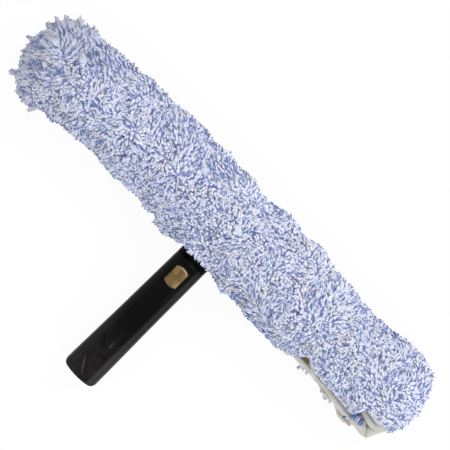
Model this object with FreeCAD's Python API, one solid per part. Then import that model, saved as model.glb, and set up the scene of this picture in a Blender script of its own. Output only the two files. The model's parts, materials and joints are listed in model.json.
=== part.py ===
import FreeCAD, Part
import math
import os

# Window strip washer: a short handle with a quick-release T bar inside a fleece sleeve.
# All lengths are millimetres. The tool is first built level: X runs along the bar, Y along
# the handle from the pole socket's mouth towards the bar, and Z up through the button.
# It is then tipped about X, so that the butt and the sleeve lie on one flat floor.

V = FreeCAD.Vector

# Shared working values
overrun = 1.0               # how far a cutting tool runs past the face that it opens

# Handle: outside
handle_length = 112.0       # butt to mouth, on the centre line
butt_width = 27.4
waist_width = 25.4
mouth_width = 24.3
butt_thickness = 23.6
waist_thickness = 21.8
mouth_thickness = 21.4
waist_share = 0.5           # place of the waist along the handle
corner_share = 0.55         # corner radius of the section, of half its thickness
crown_angle = 8.0           # degrees by which the broad faces slope off at the corners
side_angle = 10.0           # the same for the narrow faces
butt_corner = 4.6           # rounding of the butt seen from above
butt_bow = 0.7              # how far the butt face bows out
mouth_bow = 3.0             # how far the mouth face bows out
butt_round = 0.9            # small rounding along the butt's rim
mouth_bevel = 0.7           # small bevel along the mouth's rim

# Handle: pole socket in the butt
socket_radius = 8.3
socket_depth = 38.0
lead_in = 1.2               # bevel at the socket's mouth

# Handle: slide way for the tongue, and the spring channel
slide_clearance = 0.2
slide_rest = 1.0            # free length behind the tongue's tip
channel_width = 13.4
channel_gap = 0.9           # under the bent leaf when the button is pressed
press_gap = 1.3             # left between the pressed button's flange and the tongue

# Release button, turned brass with two flats
button_back = 15.5          # button centre, back from the handle's mouth
button_radius = 8.1
button_flat_width = 10.6
button_proud = 1.1          # above the crown of the handle
button_bevel = 0.7
button_clearance = 0.35
button_travel = 2.2
flange_radius = 9.8
flange_thickness = 1.3
flange_clearance = 0.1
stem_radius = 3.0
stem_tip_bevel = 0.8

# Latch spring, a leaf with its front end turned up into a catch
leaf_width = 12.4
leaf_thickness = 0.6
leaf_gap = 0.7              # under the tongue
leaf_heel = 7.0             # length held in the handle's web
leaf_bend = 1.5             # outer radius of the bend below the catch
leaf_seat_clearance = 0.05
catch_width = 7.6
catch_rise = 0.3            # catch tip above the tongue's middle plane
catch_pass = 0.1            # how far the bent leaf's catch passes under the tongue
stem_gap = 0.25             # between stem tip and leaf

# T hub: tongue, collar and the spigot inside the bar
tongue_width = 18.0
tongue_thickness = 5.0
tongue_length = 44.0        # behind the handle's mouth
tongue_slot_width = 7.2
tongue_slot_spare = 1.0     # free length in front of the stem
tongue_bridge = 5.0         # between the slot and the catch window
tongue_tip_bevel = 1.4
window_clearance = 0.3      # round the catch
collar_gap = 0.3            # between handle mouth and collar
collar_straight = 4.0       # length that keeps the handle's section
collar_end_width = 22.0
collar_end_thickness = 10.6
spigot_width = 48.0
spigot_clearance = 0.1
spigot_wall = 3.0
spigot_web = 14.0           # solid middle between the two pockets
spigot_boss_radius = 4.6

# Bar, an extruded aluminium tube
bar_from_mouth = 32.0       # handle's mouth to the bar's centre line
bar_length = 338.0
bar_width = 28.0
bar_thickness = 13.0
bar_wall = 1.6
bar_corner = 4.2
water_slot_width = 10.0
water_slot_length = 30.0
water_slot_pitch = 38.0
water_slot_margin = 16.0    # from the bar's end and from the spigot

# Rivets through bar and spigot, heads sunk flush
rivet_radius = 2.0
rivet_head_radius = 3.6
rivet_head_depth = 1.3
rivet_inset = 6.0           # from the spigot's ends
rivet_clearance = 0.05

# End caps
cap_plug_length = 12.0
cap_plug_wall = 1.8
cap_clearance = 0.1
cap_flange = 1.8
cap_bevel = 0.7

# Sleeve: canvas backing round the bar
backing_clearance = 0.3
backing_thickness = 1.2
backing_end_clearance = 0.3
neck_clearance = 1.4
binding_width = 4.0
binding_thickness = 1.0

# Sleeve: pile
pile_end_reach = 16.0       # bar's end to pile tips, along the bar
pile_shift = -2.5           # the sleeve sits a little towards its closed end
pile_far_reach = 33.5       # bar axis to pile tips, away from the handle
pile_near_reach = 33.0      # bar axis to pile tips, towards the handle
pile_height = 24.5          # bar axis to pile tips, up and down
floor_flat = 0.6            # how much the sleeve's underside is pressed flat
lump_height = 0.9           # how far the fleece swells and dips, out of true
ring_points = 20            # points of the fleece's outline round the bar

# Rings of the fleece, about one lump apart: place along the sleeve as a share of the half
# length, then shares of the far reach, the near reach and the height
roll_shares = (
    (-1.000, 0.42, 0.52, 0.44), (-0.984, 0.66, 0.82, 0.70), (-0.955, 0.83, 1.04, 0.89),
    (-0.91, 0.91, 1.13, 0.98), (-0.83, 0.92, 1.12, 1.00), (-0.75, 0.94, 1.05, 1.00),
    (-0.67, 0.98, 0.98, 1.00), (-0.58, 1.03, 0.93, 1.00), (-0.49, 1.03, 0.95, 1.00),
    (-0.40, 1.08, 0.92, 1.00), (-0.31, 1.06, 0.93, 1.00), (-0.22, 1.07, 1.05, 1.00),
    (-0.14, 1.06, 1.00, 1.00), (-0.06, 1.06, 0.93, 1.00), (0.02, 1.07, 0.91, 1.00),
    (0.09, 1.08, 0.94, 1.00), (0.17, 1.08, 1.03, 1.00), (0.26, 1.08, 1.04, 1.00),
    (0.35, 1.03, 1.04, 1.00), (0.43, 0.97, 1.02, 1.00), (0.52, 0.94, 0.99, 1.00),
    (0.61, 0.92, 0.98, 1.00), (0.70, 0.95, 1.00, 1.00), (0.78, 0.98, 1.04, 1.00),
    (0.86, 0.96, 1.01, 0.99), (0.92, 0.84, 0.87, 0.86), (0.965, 0.62, 0.63, 0.64),
    (0.99, 0.34, 0.35, 0.36), (1.000, 0.16, 0.17, 0.18),
)

# Sleeve: slit along the handle side of one half, closed by two hems with hook and loop tape
hem_thickness = 1.2
tape_thickness = 1.0
tape_width = 9.0
tape_inset = 2.0            # from the backing to the tapes
tape_end_inset = 6.0        # from the hem's ends to the tapes
slit_spare = 0.3            # free height above and below the hems
hem_length = 67.0
fold_gap = 0.6              # between the hems and the folded corner
fold_length = 20.0
fold_overhang = 3.3         # how far the folded corner runs past the backing's end

# Outer edges of the two hems: place along the hem, and reach as a share of the near reach
front_hem_shares = ((0.00, 0.80), (0.10, 0.87), (0.50, 0.93), (0.76, 1.09), (0.94, 1.13), (1.00, 0.96))
rear_hem_shares = ((0.00, 0.78), (0.16, 0.86), (0.46, 0.90), (0.70, 1.05), (0.90, 1.10), (1.00, 1.00))
# Outer edge of the folded corner: place along the fold, and reach as a share of the near reach
fold_shares = ((0.00, 0.92), (0.30, 1.01), (0.60, 1.04), (0.82, 0.84), (1.00, 0.60))

# Places worked out from the sizes above
butt_y = -lead_in
mouth_y = butt_y + handle_length
waist_y = butt_y + handle_length * waist_share
button_y = mouth_y - button_back
bar_y = mouth_y + bar_from_mouth
bar_back_y = bar_y - bar_width / 2
tongue_tip_y = mouth_y - tongue_length
slide_end_y = tongue_tip_y - slide_rest
half_tongue = tongue_thickness / 2
leaf_top = -half_tongue - leaf_gap
leaf_bottom = leaf_top - leaf_thickness
slot_end_y = button_y + stem_radius + tongue_slot_spare
window_back_y = slot_end_y + tongue_bridge
catch_back_y = window_back_y + window_clearance
catch_front_y = catch_back_y + leaf_thickness
catch_drop = half_tongue + catch_rise + catch_pass
channel_floor = channel_gap + catch_drop - leaf_bottom
channel_top = half_tongue + press_gap + button_travel + flange_thickness + flange_clearance
flange_top = channel_top - flange_clearance
flange_bottom = flange_top - flange_thickness
mouth_radius = (mouth_width ** 2 / 4 + mouth_bow ** 2) / (2 * mouth_bow)
inner_half_width = bar_width / 2 - bar_wall
inner_half_thickness = bar_thickness / 2 - bar_wall
spigot_half_thickness = inner_half_thickness - spigot_clearance
spigot_front_y = bar_y + inner_half_width - spigot_clearance
bar_half_length = bar_length / 2
backing_grow = backing_clearance + backing_thickness
backing_half_width = bar_width / 2 + backing_grow
backing_half_length = bar_half_length + cap_flange + backing_end_clearance + backing_thickness
backing_back_y = bar_y - backing_half_width
binding_back_y = backing_back_y - binding_width
neck_width = mouth_width + 2 * neck_clearance
neck_channel_width = neck_width + 2 * binding_thickness + 2 * slit_spare
neck_channel_height = mouth_thickness + 2 * neck_clearance
collar_taper_y = mouth_y + collar_straight
hem_half_stack = hem_thickness + tape_thickness
fold_end = backing_half_length + fold_overhang
fold_start = fold_end - fold_length
slit_start = fold_start - fold_gap - hem_length
pile_half_length = bar_half_length + pile_end_reach
butt_rest_y = butt_y + butt_corner
tilt = math.asin((pile_height - floor_flat - butt_thickness / 2) / (bar_y - butt_rest_y))


def loop(edges):
    return Part.Wire(edges)


def arc(start, middle, end):
    return Part.Arc(start, middle, end).toShape()


def line(start, end):
    return Part.makeLine(start, end)


def box(x_low, x_high, y_low, y_high, z_low, z_high):
    corner = V(x_low, y_low, z_low)
    return Part.makeBox(x_high - x_low, y_high - y_low, z_high - z_low, corner)


def centred_box(half_width, y_low, y_high, z_low, z_high):
    return box(-half_width, half_width, y_low, y_high, z_low, z_high)


def upright(radius, x, y, z_low, z_high):
    """Upright round rod or drill."""
    return Part.makeCylinder(radius, z_high - z_low, V(x, y, z_low))


def on_circle(centre, radius, slope):
    """Point of a circle where its skin slopes by this much from level."""
    return centre[0] + radius * math.sin(slope), centre[1] + radius * math.cos(slope)


def crowned(place, half_width, half_height):
    """Closed section with four bowed faces and four corners, all arcs that meet smoothly."""
    corner = corner_share * half_height
    crown = math.radians(crown_angle)
    flank = math.radians(side_angle)
    crown_rise = 1 - math.cos(crown)
    flank_rise = 1 - math.cos(flank)
    across = half_width + corner * (math.sin(crown) - math.cos(flank))
    up = half_height + corner * (math.sin(flank) - math.cos(crown))
    scale = math.sin(crown) * math.sin(flank) - crown_rise * flank_rise
    crown_radius = (across * math.sin(flank) - up * flank_rise) / scale
    flank_radius = (up * math.sin(crown) - across * crown_rise) / scale
    top = (crown_radius * math.sin(crown), half_height - crown_radius * crown_rise)
    side = (half_width - flank_radius * flank_rise, flank_radius * math.sin(flank))
    centre = (top[0] - corner * math.sin(crown), top[1] - corner * math.cos(crown))
    bend = on_circle(centre, corner, (crown + math.pi / 2 - flank) / 2)

    def corner_arc(right, upper):
        ends = [(right * side[0], upper * side[1]), (right * top[0], upper * top[1])]
        if right != upper:
            ends.reverse()
        return arc(place(*ends[0]), place(right * bend[0], upper * bend[1]), place(*ends[1]))

    def broad_face(upper):
        left, right = place(-top[0], upper * top[1]), place(top[0], upper * top[1])
        return arc(right, place(0, upper * half_height), left)

    def narrow_face(right):
        low, high = place(right * side[0], -side[1]), place(right * side[0], side[1])
        return arc(low, place(right * half_width, 0), high)

    return loop([narrow_face(1), corner_arc(1, 1), broad_face(1), corner_arc(-1, 1),
                 narrow_face(-1), corner_arc(-1, -1), broad_face(-1), corner_arc(1, -1)])


def slab(half_width, half_thickness, corner, x_low, x_high):
    """Bar along X whose section is a rounded rectangle about the bar's centre line."""
    flat_y = half_width - corner
    flat_z = half_thickness - corner
    bend = corner * math.sqrt(1 / 2)

    def at(y, z):
        return V(x_low, bar_y + y, z)

    edges = []
    for side, up in ((1, 1), (-1, 1), (-1, -1), (1, -1)):
        on_side = at(side * half_width, up * flat_z)
        on_face = at(side * flat_y, up * half_thickness)
        edges.append(arc(on_side, at(side * (flat_y + bend), up * (flat_z + bend)), on_face))
        if side == up:
            edges.append(line(on_face, at(-side * flat_y, up * half_thickness)))
        else:
            edges.append(line(on_side, at(side * half_width, -up * flat_z)))
    outline = loop(Part.__sortEdges__(edges))
    return Part.Face(outline).extrude(V(x_high - x_low, 0, 0))


def across_handle(y, width, thickness):
    """The handle's crowned section at one place along it."""
    return crowned(lambda across, up: V(across, y, up), width / 2, thickness / 2)


def handle_prism(width, thickness, y_low, y_high):
    return Part.Face(across_handle(y_low, width, thickness)).extrude(V(0, y_high - y_low, 0))


def double_d(radius, flat_width, z_low, z_high):
    """Upright round prism about the button's axis, with two flats along the handle."""
    reach = radius + overrun
    keep = centred_box(flat_width / 2, button_y - reach, button_y + reach, z_low, z_high)
    return upright(radius, 0, button_y, z_low, z_high).common(keep)


def mouth_cylinder(extra):
    """Upright cylinder whose front is the bowed mouth, moved forward by extra."""
    return upright(mouth_radius + extra, 0, mouth_y - mouth_radius, -butt_thickness, butt_thickness)


def butt_plan():
    """Plan of the handle behind its mouth: bowed butt, round corners, sides left free."""
    side = butt_width / 2 + overrun
    flat = butt_width / 2 - butt_corner
    bend = butt_corner * math.sqrt(1 / 2)
    face_y = butt_y + butt_bow
    corner_y = face_y + butt_corner
    front_y = mouth_y - mouth_radius

    def at(x, y):
        return V(x, y, -butt_thickness)

    def corner_arc(hand):
        middle = at(hand * (flat + bend), corner_y - bend)
        return arc(at(hand * (flat + butt_corner), corner_y), middle, at(hand * flat, face_y))

    edges = [
        corner_arc(-1),
        arc(at(-flat, face_y), at(0, butt_y), at(flat, face_y)),
        corner_arc(1),
        line(at(flat + butt_corner, corner_y), at(side, corner_y)),
        line(at(side, corner_y), at(side, front_y)),
        line(at(side, front_y), at(-side, front_y)),
        line(at(-side, front_y), at(-side, corner_y)),
        line(at(-side, corner_y), at(-flat - butt_corner, corner_y)),
    ]
    return Part.Face(loop(Part.__sortEdges__(edges))).extrude(V(0, 0, 2 * butt_thickness))


def rim_edges(shape, y_low, y_high):
    """Edges of a rim: wholly between two places along the handle, and not upright."""
    found = []
    for edge in shape.Edges:
        bounds = edge.BoundBox
        if bounds.YMin > y_low and bounds.YMax < y_high and bounds.XLength > butt_round / 2:
            found.append(edge)
    return found


def between(start, end, share):
    return start + (end - start) * share


def handle_size(y):
    """Width and thickness of the handle at a place along it."""
    if y < waist_y:
        share = (y - butt_y) / (waist_y - butt_y)
        return between(butt_width, waist_width, share), between(butt_thickness, waist_thickness, share)
    share = (y - waist_y) / (mouth_y - waist_y)
    return between(waist_width, mouth_width, share), between(waist_thickness, mouth_thickness, share)


def handle_body():
    """Outside of the handle: tapered and crowned, with its two rims rounded."""
    places = (butt_y, butt_y + 2 * butt_corner, waist_y, mouth_y - 2 * mouth_bow, mouth_y)
    body = Part.makeLoft([across_handle(y, *handle_size(y)) for y in places], True, True)
    body = body.common(butt_plan().fuse(mouth_cylinder(0))).Solids[0].removeSplitter()
    butt_rim = rim_edges(body, butt_y - overrun, butt_y + butt_bow + butt_corner)
    mouth_rim = rim_edges(body, mouth_y - 2 * mouth_bow, mouth_y + overrun)
    return body.makeFillet(butt_round, butt_rim).makeChamfer(mouth_bevel, mouth_rim)


def pole_socket():
    """Straight blind hole for a pole tip, with a bevelled mouth in the butt."""
    hole = Part.makeCylinder(socket_radius, socket_depth, V(0, 0, 0), V(0, 1, 0))
    bevel_length = lead_in + overrun
    bevel = Part.makeCone(socket_radius + bevel_length, socket_radius, bevel_length,
                          V(0, -bevel_length, 0), V(0, 1, 0))
    return hole.fuse(bevel)


def slide_way():
    """Flat slot that guides the tongue, and the channel over and under its middle."""
    front_y = mouth_y + overrun
    half_slot = half_tongue + slide_clearance
    slot = centred_box(tongue_width / 2 + slide_clearance, slide_end_y, front_y, -half_slot, half_slot)
    channel = centred_box(channel_width / 2, slide_end_y, front_y, -channel_floor, channel_top)
    return slot.fuse(channel)


def leaf_seat():
    """Slot in the web behind the slide way, which grips the leaf's heel."""
    half = leaf_width / 2 + leaf_seat_clearance
    return centred_box(half, slide_end_y - leaf_heel, slide_end_y + overrun,
                       leaf_bottom - leaf_seat_clearance, leaf_top + leaf_seat_clearance)


def button_window():
    """Opening for the button's head, with the same two flats."""
    radius = button_radius + button_clearance
    width = button_flat_width + 2 * button_clearance
    return double_d(radius, width, channel_top - overrun, butt_thickness)


def handle_shell():
    shell = handle_body()
    for tool in (pole_socket(), slide_way(), leaf_seat(), button_window()):
        shell = shell.cut(tool)
    return shell


def release_button():
    """Turned head with two flats, a flange that keeps it in the handle, and a stem."""
    head_top = handle_size(button_y)[1] / 2 + button_proud
    head = double_d(button_radius, button_flat_width, flange_bottom, head_top)
    rim = [edge for edge in head.Edges if edge.BoundBox.ZMin > head_top - button_bevel / 2]
    head = head.makeChamfer(button_bevel, rim)
    flange = double_d(flange_radius, channel_width - 2 * slide_clearance, flange_bottom, flange_top)
    stem_tip = leaf_top + stem_gap
    stem = upright(stem_radius, 0, button_y, stem_tip, flange_bottom + overrun)
    tip = [edge for edge in stem.Edges if edge.BoundBox.ZMax < stem_tip + stem_tip_bevel / 2]
    stem = stem.makeChamfer(stem_tip_bevel, tip)
    return head.fuse([flange, stem]).removeSplitter()


def latch_spring():
    """Leaf whose heel sits in the handle's web and whose front end turns up as a catch."""
    heel_y = slide_end_y - leaf_heel
    inside = leaf_bend - leaf_thickness
    bend_y = catch_front_y - leaf_bend
    bend_z = leaf_bottom + leaf_bend

    def at(y, z):
        return V(-leaf_width / 2, y, z)

    def bend(radius):
        slant = radius * math.sqrt(1 / 2)
        return arc(at(bend_y, bend_z - radius), at(bend_y + slant, bend_z - slant),
                   at(bend_y + radius, bend_z))

    edges = [
        line(at(heel_y, leaf_bottom), at(bend_y, leaf_bottom)),
        bend(leaf_bend),
        line(at(catch_front_y, bend_z), at(catch_front_y, catch_rise)),
        line(at(catch_front_y, catch_rise), at(catch_back_y, catch_rise)),
        line(at(catch_back_y, catch_rise), at(catch_back_y, bend_z)),
        bend(inside),
        line(at(bend_y, leaf_top), at(heel_y, leaf_top)),
        line(at(heel_y, leaf_top), at(heel_y, leaf_bottom)),
    ]
    leaf = Part.Face(loop(Part.__sortEdges__(edges))).extrude(V(leaf_width, 0, 0))
    for side in (-1, 1):
        inner, outer = sorted((side * catch_width / 2, side * (leaf_width / 2 + overrun)))
        leaf = leaf.cut(box(inner, outer, bend_y, catch_front_y + overrun,
                            leaf_bottom - overrun, catch_rise + overrun))
    return leaf


def tongue():
    """Flat tongue with an open slot for the stem and a window for the catch."""
    half = tongue_width / 2
    blade = centred_box(half, tongue_tip_y, collar_taper_y, -half_tongue, half_tongue)
    corners = [edge for edge in blade.Edges
               if edge.BoundBox.YMax < tongue_tip_y + overrun and edge.BoundBox.XLength < overrun]
    blade = blade.makeChamfer(tongue_tip_bevel, corners)
    slot_half = tongue_slot_width / 2
    slot = centred_box(slot_half, tongue_tip_y - overrun, slot_end_y - slot_half,
                       -tongue_thickness, tongue_thickness)
    slot_round = upright(slot_half, 0, slot_end_y - slot_half, -tongue_thickness, tongue_thickness)
    window = centred_box(catch_width / 2 + window_clearance, window_back_y,
                         catch_front_y + window_clearance, -tongue_thickness, tongue_thickness)
    return blade.cut(slot.fuse([slot_round, window]))


def collar_thickness(y):
    """Thickness of the collar's taper at a place along it."""
    share = (y - collar_taper_y) / (bar_back_y - collar_taper_y)
    return between(mouth_thickness, collar_end_thickness, share)


def narrowing(place, start_y, full, end):
    """Outline that is straight along the collar's first part and then narrows to the bar."""
    corners = [(start_y, full / 2), (collar_taper_y, full / 2), (bar_back_y, end / 2)]
    points = [place(y, half) for y, half in corners]
    points += [place(y, -half) for y, half in reversed(corners)]
    return Part.Face(Part.makePolygon(points + points[:1]))


def collar():
    """Collar that carries on the handle's outline and narrows to the bar."""
    start_y = mouth_y - mouth_bow - overrun
    body = handle_prism(mouth_width, mouth_thickness, start_y, bar_back_y)
    from_side = narrowing(lambda y, half: V(-mouth_width, y, half), start_y, mouth_thickness,
                          collar_end_thickness).extrude(V(2 * mouth_width, 0, 0))
    from_above = narrowing(lambda y, half: V(half, y, -mouth_thickness), start_y, mouth_width,
                           collar_end_width).extrude(V(0, 0, 2 * mouth_thickness))
    return body.common(from_side).common(from_above).cut(mouth_cylinder(collar_gap))


def rivet_places():
    return [(side * (spigot_width / 2 - rivet_inset), bar_y) for side in (-1, 1)]


def spigot():
    """Block that fills the bar behind its front wall, pocketed each side of a web."""
    half = spigot_width / 2
    depth = spigot_half_thickness
    block = centred_box(half, bar_back_y, spigot_front_y, -depth, depth)
    front = [edge for edge in block.Edges
             if edge.BoundBox.YMin > spigot_front_y - overrun and edge.BoundBox.XLength > spigot_wall]
    block = block.makeFillet(bar_corner - bar_wall, front)
    block = block.common(slab(bar_width / 2, bar_thickness / 2, bar_corner, -half, half))
    for side in (-1, 1):
        inner, outer = sorted((side * spigot_web / 2, side * (half - spigot_wall)))
        block = block.cut(box(inner, outer, bar_back_y + spigot_wall, spigot_front_y - spigot_wall,
                              -bar_thickness, bar_thickness))
    for x, y in rivet_places():
        block = block.fuse(upright(spigot_boss_radius, x, y, -depth, depth))
    for x, y in rivet_places():
        block = block.cut(upright(rivet_radius + rivet_clearance, x, y, -bar_thickness, bar_thickness))
    return block


def t_hub():
    return collar().fuse([tongue(), spigot()]).removeSplitter()


def rivets(clearance):
    """Both rivets with their sunk heads, or the holes for them."""
    half = bar_thickness / 2
    shapes = []
    for x, y in rivet_places():
        rod = upright(rivet_radius + clearance, x, y, -half, half)
        for up in (-1, 1):
            base = V(x, y, up * (half - rivet_head_depth))
            head = Part.makeCone(rivet_radius + clearance, rivet_head_radius + clearance,
                                 rivet_head_depth, base, V(0, 0, up))
            rod = rod.fuse(head)
        shapes.append(rod.removeSplitter())
    return shapes


def water_slots():
    """Round-ended slots along both faces that hold water, clear of hub and ends."""
    first = spigot_width / 2 + water_slot_margin
    last = bar_half_length - water_slot_margin - water_slot_length
    count = int((last - first) / water_slot_pitch) + 1
    radius = water_slot_width / 2
    slots = []
    for index in range(count):
        start = first + index * water_slot_pitch
        middle = start + water_slot_length / 2
        reach = water_slot_length / 2 - radius
        for side in (-1, 1):
            x = side * middle
            drill = box(x - reach, x + reach, bar_y - radius, bar_y + radius, -bar_thickness, bar_thickness)
            ends = [upright(radius, x + hand * reach, bar_y, -bar_thickness, bar_thickness)
                    for hand in (-1, 1)]
            slots.append(drill.fuse(ends).removeSplitter())
    return slots


def bar_tube():
    """Extruded tube with rows of water slots, an opening for the spigot, and rivet holes."""
    outer = slab(bar_width / 2, bar_thickness / 2, bar_corner, -bar_half_length, bar_half_length)
    inner = slab(inner_half_width, inner_half_thickness, bar_corner - bar_wall,
                 -bar_half_length - overrun, bar_half_length + overrun)
    opening = centred_box(spigot_width / 2 + spigot_clearance, bar_back_y - overrun, bar_y,
                          -inner_half_thickness, inner_half_thickness)
    return outer.cut([inner, opening] + water_slots() + rivets(rivet_clearance))


def end_cap(side):
    """Plug inside the bar's end under a rounded flange of the bar's outline."""
    start = bar_half_length - cap_plug_length
    half_width = inner_half_width - cap_clearance
    half_thickness = inner_half_thickness - cap_clearance
    corner = bar_corner - bar_wall - cap_clearance
    plug = slab(half_width, half_thickness, corner, start, bar_half_length + overrun)
    hollow = slab(half_width - cap_plug_wall, half_thickness - cap_plug_wall,
                  corner / 2, start - overrun, bar_half_length)
    flange = slab(bar_width / 2, bar_thickness / 2, bar_corner, bar_half_length,
                  bar_half_length + cap_flange)
    rim = [edge for edge in flange.Edges if edge.BoundBox.XMin > bar_half_length + cap_flange / 2]
    flange = flange.makeChamfer(cap_bevel, rim)
    cap = plug.cut(hollow).fuse(flange).removeSplitter()
    return cap if side > 0 else cap.mirror(V(0, 0, 0), V(1, 0, 0))


def backing_solid():
    return slab(backing_half_width, bar_thickness / 2 + backing_grow, bar_corner + backing_grow,
                -backing_half_length, backing_half_length)


def sleeve_backing():
    """Canvas tube with closed ends, open at the neck and along the slit."""
    inner_end = backing_half_length - backing_thickness
    inside = slab(bar_width / 2 + backing_clearance, bar_thickness / 2 + backing_clearance,
                  bar_corner + backing_clearance, -inner_end, inner_end)
    neck = handle_prism(neck_width, collar_thickness(backing_back_y) + 2 * neck_clearance,
                        backing_back_y - overrun, bar_back_y)
    slit = box(slit_start, fold_end, backing_back_y - overrun, bar_back_y,
               -tape_thickness, tape_thickness)
    return backing_solid().cut([inside, neck, slit])


def neck_binding():
    """Bound edge of the sleeve's neck, a flat ring round the collar."""
    height = collar_thickness(binding_back_y) + 2 * neck_clearance
    ring = handle_prism(neck_width + 2 * binding_thickness, height + 2 * binding_thickness,
                        binding_back_y, backing_back_y)
    return ring.cut(handle_prism(neck_width, height, binding_back_y - overrun, backing_back_y + overrun))


def edge_sheet(x_start, length, edge_shares, z_low, z_high):
    """Flat cloth along the backing, whose free edge follows the given shares."""
    def at(x, y):
        return V(x, y, z_low)

    points = [at(x_start + along * length, bar_y - reach * pile_near_reach) for along, reach in edge_shares]
    curve = Part.BSplineCurve()
    curve.interpolate(Points=points)
    root_start = at(x_start, backing_back_y)
    root_end = at(x_start + length, backing_back_y)
    edges = [curve.toShape(), line(points[-1], root_end), line(root_end, root_start),
             line(root_start, points[0])]
    return Part.Face(loop(edges)).extrude(V(0, 0, z_high - z_low))


def front_hem():
    return edge_sheet(slit_start, hem_length, front_hem_shares, tape_thickness, hem_half_stack)


def rear_hem():
    return edge_sheet(slit_start, hem_length, rear_hem_shares, -hem_half_stack, -tape_thickness)


def corner_fold():
    return edge_sheet(fold_start, fold_length, fold_shares, -hem_half_stack, hem_half_stack)


def tape(z_low, z_high):
    """Closing tape along a hem; the hook and loop sides meet on the middle plane."""
    far = backing_back_y - tape_inset
    return box(slit_start + tape_end_inset, slit_start + hem_length - tape_end_inset,
               far - tape_width, far, z_low, z_high)


def fleece_ring(row, along, far, near, height):
    """Points of the fleece's outline round the bar, swelling and dipping from ring to ring."""
    x = pile_shift + along * pile_half_length
    middle = (far * pile_far_reach - near * pile_near_reach) / 2
    half_width = (far * pile_far_reach + near * pile_near_reach) / 2
    points = []
    for i in range(ring_points):
        turn = 2 * math.pi * i / ring_points
        lump = lump_height * height * math.sin(3 * turn + 2 * row) * math.cos(2 * turn - 3 * row)
        points.append(V(x, bar_y + middle + (half_width + lump) * math.cos(turn),
                        (height * pile_height + lump) * math.sin(turn)))
    return points


def fleece_body():
    """Closed lumpy roll with three-sided faces between its rings."""
    rings = [fleece_ring(row, *shares) for row, shares in enumerate(roll_shares)]
    corners = [ring + ring[:1] for ring in (rings[0], rings[-1])]
    for ring, beyond in zip(rings, rings[1:]):
        for i in range(ring_points):
            j = (i + 1) % ring_points
            corners.append([ring[i], ring[j], beyond[i], ring[i]])
            corners.append([ring[j], beyond[j], beyond[i], ring[j]])
    shell = Part.makeShell([Part.Face(Part.makePolygon(outline)) for outline in corners])
    shell.sewShape()
    body = Part.makeSolid(shell)
    if body.Volume < 0:
        body.reverse()
    return body


def sleeve_pile():
    """Fleece from the backing out to the tips of the pile, open at the neck and slit."""
    neck = handle_prism(neck_channel_width, neck_channel_height, mouth_y - mouth_width,
                        backing_back_y + overrun)
    half_slit = hem_half_stack + slit_spare
    slit = box(slit_start - slit_spare, fold_end + slit_spare,
               bar_y - 2 * pile_near_reach, backing_back_y + overrun, -half_slit, half_slit)
    return fleece_body().cut([backing_solid(), neck, slit])


def tipped(shape):
    """The shape as it lies: turned about X through the socket's mouth."""
    turned = shape.copy()
    turned.rotate(V(0, 0, 0), V(1, 0, 0), math.degrees(tilt))
    return turned


def main():
    level = {
        "handle_shell": handle_shell(),
        "release_button": release_button(),
        "latch_spring": latch_spring(),
        "t_hub": t_hub(),
        "hub_rivets": Part.makeCompound(rivets(0)),
        "bar_tube": bar_tube(),
        "end_cap_left": end_cap(-1),
        "end_cap_right": end_cap(1),
        "sleeve_backing": sleeve_backing(),
        "neck_binding": neck_binding(),
        "front_hem": front_hem(),
        "rear_hem": rear_hem(),
        "corner_fold": corner_fold(),
        "hook_tape": tape(0, tape_thickness),
        "loop_tape": tape(-tape_thickness, 0),
        "sleeve_pile": sleeve_pile(),
    }
    nodes = {name: tipped(shape) for name, shape in level.items()}
    floor_z = nodes["handle_shell"].BoundBox.ZMin
    reach = 2 * pile_half_length
    below = box(-reach, reach, -reach, reach, floor_z - pile_height, floor_z)
    nodes["sleeve_pile"] = nodes["sleeve_pile"].cut(below)
    os.makedirs("parts", exist_ok=True)
    for name, shape in nodes.items():
        shape.exportStep("parts/" + name + ".step")
        print(name, "solids", len(shape.Solids), "valid", shape.isValid(), "volume", round(shape.Volume))
    print("tilt in degrees", round(math.degrees(tilt), 4), "floor", round(floor_z, 3))
    print("bar centre line y", round(bar_y, 3), "button y", round(button_y, 3))


main()
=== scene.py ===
import json
import math
from types import SimpleNamespace

import bpy
import numpy as np
from mathutils import Matrix, Vector, noise
from mathutils.kdtree import KDTree


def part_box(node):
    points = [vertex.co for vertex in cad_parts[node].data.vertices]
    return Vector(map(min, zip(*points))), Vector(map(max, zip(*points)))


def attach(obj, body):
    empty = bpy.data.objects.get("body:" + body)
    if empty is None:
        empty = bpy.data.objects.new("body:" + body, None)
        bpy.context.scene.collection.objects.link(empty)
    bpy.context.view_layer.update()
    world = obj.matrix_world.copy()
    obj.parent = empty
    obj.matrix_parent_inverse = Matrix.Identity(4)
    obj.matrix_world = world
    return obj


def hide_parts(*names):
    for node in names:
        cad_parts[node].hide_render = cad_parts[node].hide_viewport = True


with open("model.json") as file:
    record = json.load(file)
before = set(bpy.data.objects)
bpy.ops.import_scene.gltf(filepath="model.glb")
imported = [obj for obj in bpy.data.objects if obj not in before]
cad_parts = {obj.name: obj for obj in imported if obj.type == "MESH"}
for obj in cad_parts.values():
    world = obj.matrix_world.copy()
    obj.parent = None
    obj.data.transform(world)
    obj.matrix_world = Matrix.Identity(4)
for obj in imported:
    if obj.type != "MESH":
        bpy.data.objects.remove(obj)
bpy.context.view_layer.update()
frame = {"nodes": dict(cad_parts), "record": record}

# The swirls of the pile are the same at every run
pile_pattern = 2
noise.seed_set(pile_pattern)

# Places taken from the frame: the handle tips down to the floor by the same angle as its socket
mm = 0.001
tilt = math.asin(-frame["record"]["mounts"][0]["axis"][2])
bar_low, bar_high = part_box("bar_tube")
bar_centre = (bar_low + bar_high) / 2
button_low, button_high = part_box("release_button")
button_centre = (button_low + button_high) / 2
floor_height = min(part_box("handle_shell")[0].z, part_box("sleeve_pile")[0].z)
seated = Matrix.Translation(bar_centre) @ Matrix.Rotation(tilt, 4, "X")

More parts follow.
